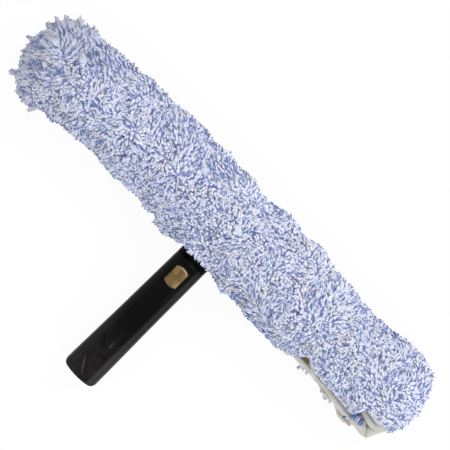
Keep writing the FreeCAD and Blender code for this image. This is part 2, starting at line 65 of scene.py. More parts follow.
# Camera, straight above, with the handle's line half way between the frame's edges
camera_distance = 1.7
frame_width = 306 * mm
camera_turn = math.radians(45.38)
camera_offset = (-1.36 * mm, 1.36 * mm)

# Roll of pile: where its rounded ends start and stop along the bar, and how blunt they are
closed_end, closed_start = -181.4 * mm, -160 * mm
slit_end, slit_start = 180.6 * mm, 150 * mm
end_bluntness = 2.6

# Height of the roll over the bar's axis, how far stray tips stand out, and how deep the roots and felt lie
roll_height = 24.2 * mm
tip_fluff = 0.8 * mm
root_depth = 6.0 * mm
ground_depth = 2.2 * mm

# Reach of the pile from the bar's axis in millimetres: place along the bar, far side, handle side
roll_reach = (
    (-187, 28.4, 31.0), (-176, 28.4, 31.6), (-165, 28.8, 37.6), (-156, 30.6, 39.4), (-150, 30.0, 37.0),
    (-144, 30.2, 34.8), (-136, 31.2, 34.5), (-128, 32.1, 31.8), (-120, 32.2, 32.2), (-112, 33.2, 31.2),
    (-104, 35.0, 30.3), (-96, 34.2, 30.6), (-88, 34.7, 31.0), (-80, 35.5, 31.3), (-72, 36.6, 30.5),
    (-64, 36.6, 30.0), (-56, 36.2, 30.6), (-48, 35.9, 31.2), (-41, 35.6, 30.0), (-35, 36.3, 34.6),
    (-28, 35.6, 34.4), (-22, 35.2, 32.0), (-15, 36.4, 30.8), (-8, 35.8, 30.4), (0, 33.7, 30.2),
    (8, 34.1, 30.5), (16, 34.3, 31.2), (22, 36.2, 32.0), (28, 37.4, 34.5), (34, 36.4, 32.2),
    (39, 34.2, 32.2), (45, 35.0, 32.6), (52, 36.8, 34.8), (60, 35.5, 34.6), (68, 33.1, 34.8),
    (73, 31.6, 34.8), (82, 32.3, 34.6), (90, 32.4, 32.8), (98, 31.0, 32.2), (106, 30.0, 32.2),
    (112, 29.3, 32.0), (120, 30.8, 32.5), (130, 31.9, 33.0), (140, 33.0, 34.2), (148, 34.2, 35.0),
    (160, 33.0, 33.8), (174, 33.2, 32.2), (182, 29.8, 36.6),
)

# Edge of the upper pile along the slit and of the canvas that shows past it, in millimetres
slit_edges = (
    (86, 33.2, 22.0), (90.5, 32.4, 27.0), (93.5, 29.4, 29.2), (98, 24.8, 30.0), (101, 22.2, 30.2),
    (104, 22.6, 30.4), (109, 25.8, 30.4), (119, 26.9, 31.0), (126, 27.3, 33.4), (131, 26.4, 34.4),
    (135, 27.0, 32.6), (138, 27.4, 33.6), (145, 28.3, 37.4), (150.4, 28.6, 37.8), (151.8, 20.4, 36.8),
)
fold_edges = ((156, 19.6, 34.0), (162, 19.2, 34.2), (168, 19.0, 33.6), (172, 19.6, 24.0), (177, 19.4, 20.0),
              (181, 17.0, 17.0))

# The slit: how far it runs along the bar, where its bare mouth starts along the bar and off the bar's axis,
# and between which heights that lies
slit_from, slit_to = 86 * mm, 176 * mm
mouth_from, mouth_depth = 84 * mm, 15 * mm
mouth_low, mouth_high = -4.5 * mm, 3.5 * mm

# Height where the pile over the slit starts, and how far the pile under it stays behind the canvas
upper_pile_foot = -1 * mm
lower_pile_inset = 1.6 * mm

# Outer edges of the upper hem's rolled band and of the folded corner, and the middle of the corner's rolled
# strip, in millimetres: place along the bar, towards the handle
band_edges = (
    (86, 22.0), (91, 27.0), (95.5, 29.7), (103, 30.1), (110, 30.1), (116, 30.8), (123, 30.5),
    (129, 31.0), (137, 32.5), (145, 33.5), (153, 33.5), (157, 31.0),
)
flap_edges = ((152.6, 34.0), (157, 33.6), (164, 34.4), (168.3, 33.8), (170, 29.4), (173, 23.0), (179.6, 9.0))
strip_middle = ((151, 21.4), (166, 24.2), (174, 20.0))

# Sheets in millimetres: where each starts on the bar, how far it runs, and how far off the axis its root is
front_hem_from, front_hem_run = 87, 68
rear_hem_from, rear_hem_run = 88, 67.5
fold_from, fold_run = 152.6, 27
hem_root, fold_root = 15, 6

# Upper hem: how far in from its edge the rolled band and the stitched groove lie, and where it gapes
band_inset, band_half, band_rise = 1.4, 1.3, 1.1
stitch_inset, stitch_half, stitch_depth = 3.6, 0.7, 1.4
gape_place, gape_half, gape_inset, gape_depth = 102, 4.0, 3.2, 0.6

# Lower hem: its rolled edge, and the painted shade along its seam
roll_inset, roll_half, roll_rise = 1.0, 0.9, 0.7
seam_inset, seam_half = 2.6, 0.6

# Folded corner: its strip and the gaps beside it, where the strip ends, its crease and the notch between them
strip_half, strip_rise = 1.7, 1.8
gap_inset, gap_half, gap_depth = 2.4, 0.6, 2.0
strip_end, strip_fade = 167, 1.2
crease_from, crease_reach, crease_slope = 163.5, 27.4, 0.71
crease_half, crease_depth = 0.55, 2.2
notch_place, notch_reach, notch_depth = 162.9, 27.2, 1.6
notch_half_length, notch_half_width = 1.9, 0.9

# Tufts that poke out at the slit, in millimetres: root, tip, how far they spread, white strands, blue strands
slit_tufts = (
    ((103.5, -27.5, -5.0), (102.8, -34.4, -6.0), 0.8, 6, 2),
    ((106.0, -27.5, -5.0), (105.5, -32.6, -6.0), 1.1, 5, 1),
    ((109.3, -27.5, -5.0), (109.0, -32.4, -6.0), 1.0, 5, 1),
    ((125.5, -29.0, -5.5), (125.0, -34.0, -6.5), 1.2, 8, 2),
    ((129.5, -30.0, -5.5), (129.5, -35.0, -6.5), 1.4, 10, 3),
    ((133.5, -30.0, -5.5), (134.2, -35.0, -6.5), 1.2, 7, 3),
    ((148.4, -31.8, 1.0), (147.6, -34.6, 1.6), 0.6, 1, 5),
    ((151.0, -24.6, 7.0), (150.8, -30.0, 6.4), 1.5, 3, 15),
    ((154.0, -24.4, 7.0), (154.4, -29.2, 6.2), 1.7, 3, 22),
    ((157.4, -25.6, 6.6), (158.8, -29.4, 5.4), 1.5, 3, 18),
)

# Locks of pile that stand out at the closed end, in millimetres: root, tip, how far they spread, white, blue
end_locks = (
    ((-171.0, 12.0, 4.0), (-182.8, 18.2, 4.0), 1.2, 6, 3),
    ((-168.0, 16.0, 4.0), (-178.4, 23.2, 4.0), 1.2, 9, 3),
    ((-160.0, 18.0, 4.0), (-169.8, 28.6, 4.0), 2.3, 16, 0),
    ((-173.0, 6.0, 4.0), (-184.2, 10.8, 4.0), 1.4, 10, 3),
    ((-174.0, -2.0, 4.0), (-186.8, -4.8, 5.0), 1.1, 8, 4),
    ((-172.0, -9.0, 4.0), (-182.4, -14.4, 4.0), 1.5, 12, 2),
    ((-167.0, -21.0, 4.0), (-178.2, -30.4, 4.0), 1.4, 12, 3),
    ((-159.0, -27.0, 4.0), (-166.4, -36.8, 3.0), 1.6, 13, 1),
    ((-152.0, -29.0, 4.0), (-159.2, -38.8, 3.0), 0.8, 4, 6),
    ((-145.4, -29.0, 4.0), (-151.8, -39.6, 2.0), 1.4, 13, 3),
)

# The collar that the pile leaves open: half across the bar and half up, its top, where the pile over it ends,
# and how far beside it that end still holds
collar_half_width = 13.6 * mm
collar_half_height = 9.6 * mm
collar_top = 11.4 * mm
collar_pile_edge = 29.6 * mm
collar_margin = 1.5 * mm

# How far the pile over the collar is drawn to the handle: fully below one height and not at all above another
collar_draw = 2.6 * mm
drawn_from, drawn_fully, drawn_not = 7 * mm, 10 * mm, 19 * mm

# Felt between the roots: how far it stays behind the pile's edge at the slit, less below one height, and
# where it ends at the collar
ground_slit_from = 88 * mm
ground_inset, ground_low_inset, ground_low = 4.5 * mm, 1.5 * mm, -12 * mm
ground_collar_margin, ground_collar_edge = 2 * mm, 26 * mm

# How each colour of pile is sown. The pitch is the room for one strand and the radius its half width. Stray
# is how far each leans its own way, and flatness its share of the common lean. Lift is how far the tips stand
# out, rise how straight the strands start, pull how far tufts draw them in and wave how crimped they are.
white_pile = SimpleNamespace(
    colour="white", pitch=1.7 * mm, radius=1.2 * mm, stray=0.9, flatness=1.0, lift=0.0 * mm, rise=1.0,
    pull=(0.05, 0.25), wave=0.25 * mm, parts=5, seed=11)
blue_pile = SimpleNamespace(
    colour="blue", pitch=2.5 * mm, radius=0.52 * mm, stray=1.8, flatness=0.72, lift=0.5 * mm, rise=1.1,
    pull=(0.0, 0.2), wave=0.7 * mm, parts=3, seed=23)

# All strands: how far their width varies, the pitch of tufts, the furthest lean and how much it lowers a tip,
# and how far they stay off the edges and the floor
thinnest_share, thickest_share = 0.72, 1.15
tuft_pitch = 5.5 * mm
strand_lean = 8.6 * mm
bend_share = 0.5
edge_allowance = 0.8 * mm
floor_gap = 0.3 * mm

# Lay of the pile: size, strength and pattern of its swirls, its common lean, and how far it fans at the ends
lay_swirls = ((24 * mm, 12.0, 1.0), (8 * mm, 6.0, 7.0))
common_lay = (-1.6, 0.8, -4.5)
closed_fan, slit_fan = 5.0, 5.5
shaggy_from, shaggy_to = -140 * mm, -168 * mm
slit_fan_from, slit_fan_to = 140 * mm, 168 * mm

# Lumps of the pile: size, height and pattern, and the finer ones of the shaggy end
pile_lumps = ((17 * mm, 1.4 * mm, 3.0), (8 * mm, 2.4 * mm, 11.0))
shaggy_lumps = (6 * mm, 4.5 * mm, 5.0)

# How much more the shaggy end leans, stands up, is ragged and gathers in tufts, and how much wider they are
shaggy_lean, shaggy_stand, shaggy_ragged, shaggy_pull, shaggy_tuft = 0.25, 0.4, 1.6, 1.3, 0.5

# Stretch of the pile at the closed end that is greyed, and how grey it gets
greyed_stretch, greyed_share = (-178 * mm, -125 * mm), 0.34

# Painted highlight across the handle's left and right upper edges, and how far from the butt it grows
# lighter; rubbed stretches along it from the butt
left_shoulder_highlight = (-6.5 * mm, -9.5 * mm)
right_shoulder_highlight, right_highlight_fade = (6.9 * mm, 8.9 * mm), (9.4 * mm, 12.0 * mm)
butt_highlight_reach, butt_blotches = 55 * mm, 48 * mm
scratched_stretch = (50 * mm, 72 * mm)

# Scratches on the handle's crown, in millimetres: from, to, half width, and how strong
handle_scratches = (
    ((1.9, 1.5, 0.0), (-6.6, 14.7, 0.0), 0.45, 0.8),
    ((-3.4, 30.6, 0.0), (-1.6, 30.2, 0.0), 0.4, 0.3),
    ((1.6, 32.4, 0.0), (2.8, 30.0, 0.0), 0.4, 0.3),
)


# Modelling helpers

def start_primitive():
    """Leaves nothing selected, so that the next operators act on the new piece alone."""
    bpy.ops.object.select_all(action="DESELECT")


def take_up(piece):
    """Makes a piece the only one selected and the active one."""
    start_primitive()
    piece.select_set(True)
    bpy.context.view_layer.objects.active = piece


def named(piece, name):
    """Gives the piece and its mesh one name."""
    piece.name = name
    piece.data.name = name
    return piece


def apply_modifier(piece, kind, **settings):
    """Adds a modifier with these settings and applies it."""
    take_up(piece)
    modifier = piece.modifiers.new(kind.title(), kind)
    for key, value in settings.items():
        setattr(modifier, key, value)
    bpy.ops.object.modifier_apply(modifier=modifier.name)


def seat_on_bar(piece):
    """Tips a piece that was modelled level about the bar's axis into its place."""
    piece.data.transform(seated)
    return piece


def outfit(piece, finish, body, slot, *nodes):
    """Gives a finished piece its material and its body, and hides the nodes that it stands for. Its slot is
    not used.
    """
    piece.data.materials.clear()
    piece.data.materials.append(finish)
    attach(piece, body)
    if nodes:
        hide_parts(*nodes)
    return piece


def merged_copy(node, name, crease=math.radians(32)):
    """A copy of a rigid node with its doubles merged, smooth over its round faces."""
    piece = bpy.data.objects.new(name, frame["nodes"][node].data.copy())
    named(piece, name)
    bpy.context.collection.objects.link(piece)
    take_up(piece)
    bpy.ops.object.mode_set(mode="EDIT")
    bpy.ops.mesh.select_all(action="SELECT")
    bpy.ops.mesh.remove_doubles(threshold=0.002 * mm)
    bpy.ops.object.mode_set(mode="OBJECT")
    bpy.ops.object.shade_smooth_by_angle(angle=crease)
    return piece


# Materials

class Finish:
    """A material whose nodes are added one after another. Its place output is in metres on the object."""

    def __init__(self, name, roughness=0.5, metallic=0.0, specular=0.5):
        self.material = bpy.data.materials.new(name)
        self.material.use_nodes = True
        self.tree = self.material.node_tree
        self.shader = self.tree.nodes["Principled BSDF"]
        self.shader.inputs["Roughness"].default_value = roughness
        self.shader.inputs["Metallic"].default_value = metallic
        self.shader.inputs["Specular IOR Level"].default_value = specular
        self.place = self.add("ShaderNodeTexCoord").outputs["Object"]

    def add(self, kind, inputs=None, **settings):
        node = self.tree.nodes.new(kind)
        for key, value in settings.items():
            setattr(node, key, value)
        for key, value in (inputs or {}).items():
            self.join(value, node.inputs[key])
        return node

    def join(self, value, socket):
        if isinstance(value, bpy.types.NodeSocket):
            self.tree.links.new(value, socket)
        else:
            socket.default_value = value

    def noise(self, size, detail=2.0, roughness=0.5, place=None, distortion=0.0):
        """Noise whose spots are about this size in metres."""
        settings = {"Vector": place or self.place, "Scale": 1 / size, "Detail": detail,
                    "Roughness": roughness, "Distortion": distortion}
        return self.add("ShaderNodeTexNoise", settings).outputs["Fac"]

    def spread(self, value, low, high, to_low=0.0, to_high=1.0):
        """Maps a value from one range to another, held at its ends."""
        settings = {"Value": value, "From Min": low, "From Max": high, "To Min": to_low, "To Max": to_high}
        return self.add("ShaderNodeMapRange", settings).outputs["Result"]

    def mix(self, share, first, second):
        """Two colours mixed by a share."""
        node = self.add("ShaderNodeMix", data_type="RGBA")
        self.join(share, node.inputs["Factor"])
        self.join(first, node.inputs[6])
        self.join(second, node.inputs[7])
        return node.outputs[2]

    def maths(self, operation, first, second=0.0):
        node = self.add("ShaderNodeMath", operation=operation)
        self.join(first, node.inputs[0])
        self.join(second, node.inputs[1])
        return node.outputs[0]

    def product(self, first, second):
        return self.maths("MULTIPLY", first, second)

    def axis(self, name):
        """The place along one of the object's axes, X, Y or Z."""
        return self.add("ShaderNodeSeparateXYZ", {0: self.place}).outputs[name]

    def attribute(self, name):
        """A value that the mesh carries at each of its points."""
        return self.add("ShaderNodeAttribute", attribute_name=name).outputs["Fac"]

    def stretched(self, scale, location=(0, 0, 0), rotation=(0, 0, 0)):
        """The place, moved, turned and stretched."""
        settings = {"Vector": self.place, "Location": location, "Rotation": rotation, "Scale": scale}
        return self.add("ShaderNodeMapping", settings).outputs["Vector"]

    def line(self, start, end, width):
        """A thin line seen from above, from one place to another, fading at its end."""
        way, length = (end - start).normalized(), (end - start).length
        settings = {0: self.place, 1: start}
        from_start = self.add("ShaderNodeVectorMath", settings, operation="SUBTRACT").outputs[0]
        along, across = (self.add("ShaderNodeVectorMath", {0: from_start, 1: axis}, operation="DOT_PRODUCT")
                         .outputs["Value"] for axis in ((way.x, way.y, 0), (-way.y, way.x, 0)))
        bow = self.product(self.product(along, self.maths("SUBTRACT", along, length)), 6.0)
        off_line = self.maths("ABSOLUTE", self.maths("ADD", across, bow))
        ends = self.product(self.spread(along, 0.0, 1 * mm), self.spread(along, length * 0.6, length, 1, 0))
        return self.product(self.spread(off_line, width * 0.3, width, 1.0, 0.0), ends)

    def colour(self, value):
        self.join(value, self.shader.inputs["Base Color"])

    def gloss(self, value):
        self.join(value, self.shader.inputs["Roughness"])

    def bump(self, height, depth, strength=0.5):
        """Bump whose full height is this depth in metres."""
        node = self.add("ShaderNodeBump", {"Height": height, "Distance": depth, "Strength": strength})
        self.join(node.outputs["Normal"], self.shader.inputs["Normal"])


def tone(red, green, blue):
    """A colour as it is seen on a screen, from 0 to 255, made linear."""
    linear = [((c / 255 + 0.055) / 1.055) ** 2.4 if c > 10.3 else c / 255 / 12.92 for c in (red, green, blue)]
    return (*linear, 1.0)


def scratched(finish, wear, along):
    """Share of scratched surface: faint streaks near the butt, and the scratches that show on the crown."""
    stretched = finish.stretched((1.0, 0.06, 0.5), rotation=(0, 0, math.radians(12)))
    streaks = finish.noise(1.1 * mm, detail=2, place=stretched, distortion=0.6)
    scratches = finish.product(finish.spread(streaks, 0.70, 0.76), finish.spread(wear, 0.5, 0.62))
    scratches = finish.product(scratches, finish.spread(along, *scratched_stretch, 0.4, 0.0))
    for start, end, width, share in handle_scratches:
        scratch = finish.line(Vector(start) * mm, Vector(end) * mm, width * mm)
        scratches = finish.maths("MAXIMUM", scratches, finish.product(scratch, share))
    return scratches


def handle_plastic():
    """Satin black nylon, with a painted highlight along its upper edges that is lighter on the right and
    towards the butt, rubbed grey towards the butt, with fine scratches.
    """
    finish = Finish("handle_black_nylon", specular=0.06)
    along, across = finish.axis("Y"), finish.axis("X")
    wear = finish.noise(18 * mm, detail=4)
    patches = finish.spread(wear, 0.2, 0.7, 0.5, 1.0)
    towards_butt = finish.spread(along, 0.0, butt_highlight_reach, 1.0, 0.0)

    plain = finish.mix(wear, tone(4, 3, 3), tone(8, 7, 7))
    blotches = finish.spread(finish.noise(7 * mm, detail=5), 0.35, 0.65, 0.35, 1.4)
    rubbed_butt = finish.product(finish.spread(along, 0.0, butt_blotches, 1.0, 0.0), blotches)
    plain = finish.mix(rubbed_butt, plain, tone(31, 29, 29))
    # Painted highlight along both upper edges, in patches, lighter on the right shoulder and towards the butt
    left_highlight = finish.product(finish.spread(across, *left_shoulder_highlight), patches)
    plain = finish.mix(left_highlight, plain, finish.mix(towards_butt, tone(26, 25, 25), tone(42, 40, 40)))
    right_highlight = finish.product(finish.spread(across, *right_shoulder_highlight),
                                finish.spread(across, *right_highlight_fade, 1.0, 0.75))
    shoulder_highlight_tone = finish.mix(towards_butt, tone(40, 38, 38), tone(57, 54, 54))
    plain = finish.mix(finish.product(right_highlight, patches), plain, shoulder_highlight_tone)

    scratches = scratched(finish, wear, along)
    finish.colour(finish.mix(scratches, plain, tone(84, 82, 80)))
    smoothness = finish.spread(wear, 0.3, 0.7, 0.34, 0.46)
    finish.gloss(finish.maths("ADD", smoothness, finish.product(scratches, 0.2)))
    finish.bump(finish.noise(0.45 * mm, detail=3), 0.05 * mm, 0.35)
    return finish.material


def hub_plastic():
    """Black nylon of the hub, a little duller than the handle."""
    finish = Finish("hub_black_nylon", specular=0.05)
    cloud = finish.noise(9 * mm, detail=3)
    finish.colour(finish.mix(cloud, tone(5, 4, 9), tone(11, 9, 17)))
    finish.gloss(finish.spread(cloud, 0.3, 0.7, 0.42, 0.55))
    finish.bump(finish.noise(0.6 * mm, detail=3), 0.05 * mm, 0.4)
    return finish.material


def button_brass():
    """Turned brass: fine rings round the button's axis, a painted highlight fanning across them, tarnish and
    a painted highlight on the rim's chamfer.
    """
    finish = Finish("button_turned_brass", metallic=1.0)
    chamfer_highlight = (7.1 * mm, 7.5 * mm)
    highlight_way = (-0.712, 0.702, 0)
    finish.shader.inputs["Anisotropic"].default_value = 0.6
    centred = finish.add("ShaderNodeVectorMath", {0: finish.place, 1: tuple(-button_centre)}, operation="ADD")
    level = finish.add("ShaderNodeMapping", {"Vector": centred.outputs[0], "Rotation": (-tilt, 0, 0)})
    turned = {"Vector": level.outputs[0], "Scale": 1 / (5 * mm), "Distortion": 0.3, "Detail": 2.0}
    rings = finish.add("ShaderNodeTexWave", turned, wave_type="RINGS", rings_direction="Z",
                       wave_profile="SIN")
    tarnish = finish.noise(4 * mm, detail=5)
    brass = finish.mix(tarnish, tone(100, 82, 55), tone(126, 106, 74))
    # Painted highlight: a lighter fan across the rings, the turned face's sheen painted into its colour
    along_highlight = finish.add("ShaderNodeVectorMath", {0: level.outputs[0], 1: highlight_way}, operation="DOT_PRODUCT")
    flat = finish.add("ShaderNodeVectorMath", {0: level.outputs[0], 1: (1, 1, 0)}, operation="MULTIPLY")
    reach = finish.add("ShaderNodeVectorMath", {0: flat.outputs[0]}, operation="LENGTH").outputs["Value"]
    highlight_fan = finish.maths("DIVIDE", along_highlight.outputs["Value"], finish.maths("ADD", reach, 0.5 * mm))
    brass = finish.mix(finish.spread(finish.maths("ABSOLUTE", highlight_fan), 0.72, 0.96), brass, tone(158, 134, 94))
    brass = finish.mix(finish.spread(rings.outputs["Fac"], 0, 1, 0, 0.4), brass, tone(100, 76, 48))
    # Painted highlight on the rim's chamfer
    finish.colour(finish.mix(finish.spread(reach, *chamfer_highlight, 0.0, 0.8), brass, tone(164, 142, 106)))
    finish.gloss(finish.spread(tarnish, 0.3, 0.7, 0.38, 0.50))
    finish.bump(rings.outputs["Fac"], 0.02 * mm, 0.5)
    tangent = finish.add("ShaderNodeTangent", direction_type="RADIAL", axis="Z")
    finish.join(tangent.outputs["Tangent"], finish.shader.inputs["Tangent"])
    return finish.material


def drawn_metal(name, dark, light, along, roughness):
    """Metal with fine lines along the way that it was drawn or rolled."""
    finish = Finish(name, metallic=1.0)
    lines = finish.noise(0.35 * mm, detail=3, place=finish.stretched(along))
    cloud = finish.noise(12 * mm, detail=3)
    finish.colour(finish.mix(cloud, dark, light))
    finish.gloss(finish.spread(lines, 0.3, 0.7, roughness - 0.06, roughness + 0.06))
    finish.bump(lines, 0.01 * mm, 0.5)
    return finish.material


def cap_plastic():
    """Grey polythene of the bar's end caps."""
    finish = Finish("cap_grey_polythene", specular=0.4)
    cloud = finish.noise(6 * mm, detail=3)
    finish.colour(finish.mix(cloud, tone(66, 68, 72), tone(84, 86, 90)))
    finish.gloss(finish.spread(cloud, 0.3, 0.7, 0.5, 0.62))
    finish.bump(finish.noise(0.8 * mm), 0.04 * mm, 0.4)
    return finish.material


def weave(finish, pitch):
    """Height of a plain weave with this thread pitch, on the object's own place."""
    threads = {"Vector": finish.place, "Scale": 0.31 / pitch, "Distortion": 0.4, "Detail Scale": 60.0}
    warp = finish.add("ShaderNodeTexWave", threads, wave_type="BANDS", bands_direction="X")
    weft = finish.add("ShaderNodeTexWave", threads, wave_type="BANDS", bands_direction="Y")
    return finish.maths("MAXIMUM", warp.outputs["Fac"], weft.outputs["Fac"])


def canvas(name="canvas_unbleached"):
    """Unbleached cotton canvas, washed thin and a little soiled, with brown painted shade where its sheet's
    rule marks creases and gaps.
    """
    finish = Finish(name, roughness=0.9, specular=0.2)
    finish.shader.inputs["Sheen Weight"].default_value = 0.15
    threads = weave(finish, 0.55 * mm)
    soil = finish.noise(7 * mm, detail=4)
    cloth = finish.mix(finish.spread(soil, 0.35, 0.7), tone(216, 215, 209), tone(186, 184, 176))
    cloth = finish.mix(finish.spread(threads, 0.2, 0.9, 0.22, 0.0), cloth, tone(150, 144, 130))
    # Painted shade, brown, in the creases, gaps and gape that the sheet's rule marks
    finish.colour(finish.mix(finish.attribute("painted_crease_shade"), cloth, tone(124, 101, 75)))
    finish.bump(finish.maths("ADD", threads, finish.noise(1.6 * mm, detail=3)), 0.16 * mm, 0.6)
    return finish.material


def closing_tape():
    """Fuzzy hook and loop tape."""
    finish = Finish("closing_tape_white", roughness=0.95, specular=0.15)
    fuzz = finish.noise(0.5 * mm, detail=4, roughness=0.7)
    finish.colour(finish.mix(finish.spread(fuzz, 0.35, 0.65), tone(176, 176, 178), tone(224, 224, 222)))
    finish.bump(fuzz, 0.4 * mm, 0.8)
    return finish.material


def strand_finish(name, root, dull, bright, warm):
    """A strand's colour: its root tone near the root, a slight painted shade on the white yarn, dull to
    bright by its own tone, and warm in patches.
    """
    finish = Finish(name, roughness=0.85, specular=0.2)
    finish.shader.inputs["Sheen Weight"].default_value = 0.2
    finish.shader.inputs["Subsurface Weight"].default_value = 0.5
    finish.shader.inputs["Subsurface Radius"].default_value = (1.0, 1.0, 1.0)
    finish.shader.inputs["Subsurface Scale"].default_value = 1.2 * mm
    along = finish.attribute("strand_along")
    patch = finish.noise(11 * mm, detail=2)
    cool = finish.mix(finish.attribute("strand_tone"), dull, bright)
    body = finish.mix(finish.spread(patch, 0.5, 0.68), cool, warm)
    # Greyer towards the closed end
    greyed = finish.spread(finish.axis("X"), *greyed_stretch, greyed_share, 0.0)
    body = finish.mix(greyed, body, tone(120, 122, 134))
    # The root tone is painted shade of the pile's depths, slight on the white yarn
    finish.colour(finish.mix(finish.spread(along, 0.2, 0.7), root, body))
    finish.bump(finish.noise(0.7 * mm, detail=2), 0.12 * mm, 0.2)
    return finish.material


def ground_finish():
    """The felted ground between the roots of the pile, mottled pale and blue-grey; the blue-grey is partly
    the blue yarn and partly painted shade of the gaps between strands.
    """
    finish = Finish("pile_ground_felt", roughness=0.95, specular=0.1)
    fuzz = finish.noise(1.1 * mm, detail=4)
    # The darker mottle is partly blue yarn and partly painted shade of the gaps between strands
    finish.colour(finish.mix(finish.spread(fuzz, 0.42, 0.56), tone(126, 140, 198), tone(210, 215, 238)))
    finish.bump(fuzz, 0.8 * mm, 0.8)
    return finish.material


# Roll of pile

def roll_profile():
    """Places along the bar and the share of the full reach there, close together, from end to end."""
    rise = np.linspace(0, math.pi / 2, 60)
    outward = np.cos(rise) ** (2 / end_bluntness)
    share = np.sin(rise) ** (2 / end_bluntness)
    closed_place = closed_start + (closed_end - closed_start) * outward
    slit_place = slit_start + (slit_end - slit_start) * outward
    middle = np.linspace(closed_start, slit_start, 200)[1:-1]
    places = np.concatenate([closed_place, middle, slit_place[::-1]])
    shares = np.concatenate([share, np.ones(len(middle)), share[::-1]])
    steps = np.hypot(np.diff(places), np.diff(shares) * roll_height)
    return np.concatenate([[0], np.cumsum(steps)]), places, shares


profile_lengths, profile_places, profile_shares = roll_profile()
reach_places, far_reaches, near_reaches = np.array(roll_reach).T * mm
slit_places, pile_edges, canvas_edges = np.array(slit_edges + fold_edges).T * mm


def roll_point(length, turn, inset=0.0):
    """Points on the roll, by the length along its profile and the turn about the bar, 0 on the far side."""
    place = np.interp(length, profile_lengths, profile_places)
    share = np.interp(length, profile_lengths, profile_shares)
    far = np.interp(place, reach_places, far_reaches)
    near = np.interp(place, reach_places, near_reaches)
    half = (far + near) / 2 - tip_fluff - inset
    across = (far - near) / 2 + half * share * np.cos(turn)
    return np.stack([place, across, (roll_height - inset) * share * np.sin(turn)], axis=-1)


def roll_normal(length, turn):
    """Outward directions on the roll."""
    step, small_turn = 0.4 * mm, 0.02
    along = roll_point(length + step, turn) - roll_point(length - step, turn)
    around = roll_point(length, turn + small_turn) - roll_point(length, turn - small_turn)
    normal = np.cross(along, around)
    point = roll_point(length, turn)
    middle = np.clip(point[:, 0], closed_start, slit_start)
    outward = point - np.stack([middle, np.zeros_like(middle), np.zeros_like(middle)], axis=-1)
    return unit(normal) * np.sign((normal * outward).sum(axis=1))[:, None]


def sown_places(pitch, rng):
    """Evenly spread places on the roll: their lengths along it and their turns about it."""
    jitter, margin = 0.35, 0.3 * mm
    lengths, turns = [], []
    fine = np.linspace(0, 2 * math.pi, 181)
    for station in np.arange(pitch * 0.5, profile_lengths[-1], pitch):
        ring = roll_point(np.full(len(fine), station), fine)
        around = np.concatenate([[0], np.cumsum(np.linalg.norm(np.diff(ring, axis=0), axis=1))])
        count = max(1, round(around[-1] / pitch))
        steps = (np.arange(count) + rng.uniform(-jitter, jitter, count) + rng.uniform()) / count % 1.0
        turns.append(np.interp(steps * around[-1], around, fine))
        lengths.append(station + rng.uniform(-jitter, jitter, count) * pitch)
    lengths = np.clip(np.concatenate(lengths), margin, profile_lengths[-1] - margin)
    return lengths, np.concatenate(turns)


def swirl(points, size, pattern):
    """A smooth field of directions with swirls of about this size. Each pattern number gives another one."""
    shift = Vector((pattern, 2.3 * pattern, 3.1 * pattern))
    return np.array([noise.noise_vector(Vector(p) / size + shift) for p in points])


def unit(vectors):
    """The vectors' directions."""
    return vectors / np.maximum(np.linalg.norm(vectors, axis=-1, keepdims=True), 1e-12)


def comb(points, normals, rng, stray):
    """How far and which way each strand leans, along the surface."""
    way = sum(swirl(points, size, pattern) * strength for size, strength, pattern in lay_swirls)
    way += rng.normal(0, stray, way.shape) + np.array(common_lay)
    way += fanned_out(points)
    way -= (way * normals).sum(axis=1)[:, None] * normals
    length = np.linalg.norm(way, axis=1)[:, None]
    return way / np.maximum(length, 1e-9) * strand_lean * np.tanh(length * mm / strand_lean)


def shaggy(points):
    """How shaggy the pile is at these places, from 0 to 1 at the closed end."""
    return np.clip((shaggy_from - points[:, 0]) / (shaggy_from - shaggy_to), 0, 1)


def fanned_out(points):
    """Lean of the pile away from the roll's middle at its two ends."""
    closed = shaggy(points)[:, None]
    slit = np.clip((points[:, 0] - slit_fan_from) / (slit_fan_to - slit_fan_from), 0, 1)[:, None]
    flat = points * np.array([1.0, 1.0, 0.2])
    from_closed = unit(flat - np.array([shaggy_from, 0.0, 0.0]))
    from_slit = unit(flat - np.array([slit_fan_from, 0.0, 0.0]))
    return closed_fan * closed * from_closed + slit_fan * slit * from_slit


def gather(tips, normals, rng, low, high):
    """Draws the tips together in tufts, as wet and washed pile does."""
    chance = (white_pile.pitch / (tuft_pitch * (1 + shaggy_tuft * shaggy(tips)))) ** 2
    centres = tips[rng.random(len(tips)) < chance]
    tree = KDTree(len(centres))
    for i, point in enumerate(centres):
        tree.insert(point, i)
    tree.balance()
    nearest = np.array([tree.find(point)[0] for point in tips])
    share = rng.uniform(low, high, len(tips)) * (1 + shaggy_pull * shaggy(tips))
    pull = (nearest - tips) * share[:, None]
    return tips + pull - (pull * normals).sum(axis=1)[:, None] * normals


def clear_of_openings(points):
    """Which places carry pile: all but the collar's opening and the slit's mouth."""
    x, y, z = points.T
    collar = (np.abs(x) < collar_half_width) & (np.abs(z) < collar_half_height) & (y < 0)
    mouth = (x > mouth_from) & (x < slit_to) & (y < -mouth_depth) & (z > mouth_low) & (z < mouth_high)
    return ~(collar | mouth)


def laid_over_collar(points):
    """Draws the pile above the collar towards the handle and lays it on the collar."""
    x, y, z = points.T
    above = (np.abs(x) < collar_half_width) & (y < 0) & (z > drawn_from)
    drawn = collar_draw * np.clip((drawn_not - z) / (drawn_not - drawn_fully), 0, 1)
    y = np.where(above, y - drawn, y)
    return np.stack([x, y, np.where(above, np.maximum(z, collar_top), z)], axis=-1)


